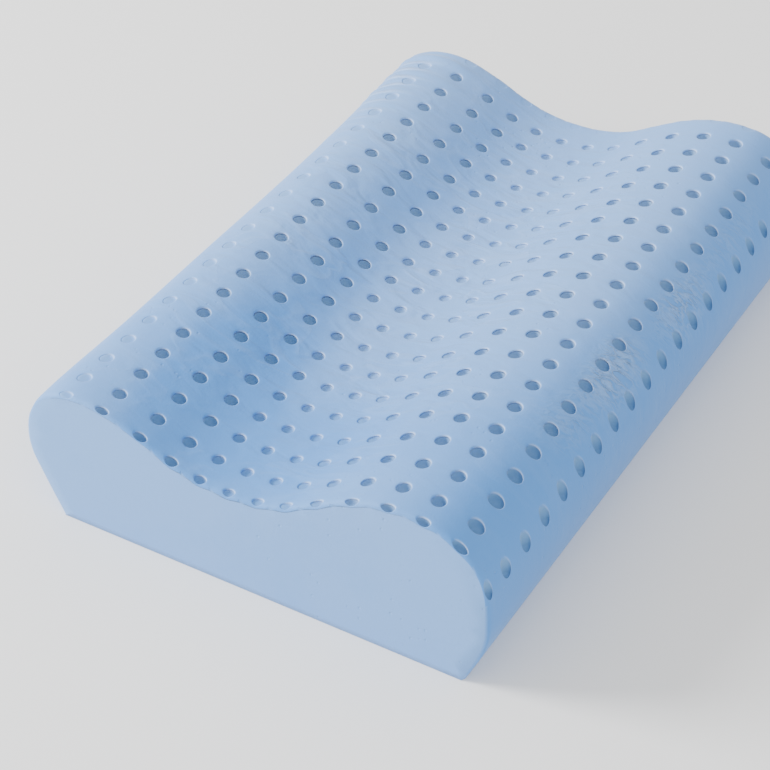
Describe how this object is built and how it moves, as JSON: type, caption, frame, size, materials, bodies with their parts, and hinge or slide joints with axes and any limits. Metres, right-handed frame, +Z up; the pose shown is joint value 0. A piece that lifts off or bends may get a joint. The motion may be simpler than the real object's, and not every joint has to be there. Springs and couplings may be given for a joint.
{
  "type": "contoured cervical pillow of bare moulded foam",
  "caption": "Contoured neck pillow moulded in one block of foam, with a low lobe, a bed for the head, a high lobe and rows of blind air vents.",
  "frame": {"origin": "under the middle of the block, on the surface that it rests on", "axes": "+X across the block from the low lobe to the high lobe, +Y along its length, +Z up"},
  "size_m": [0.3539, 0.516, 0.1143],
  "materials": {
    "foam": "bare open-cell polyurethane memory foam, matt pale blue, with a fine soft mould skin, small ripples and crinkles"
  },
  "bodies": {
    "root": {"foam_block": "foam"}
  },
  "joints": []
}
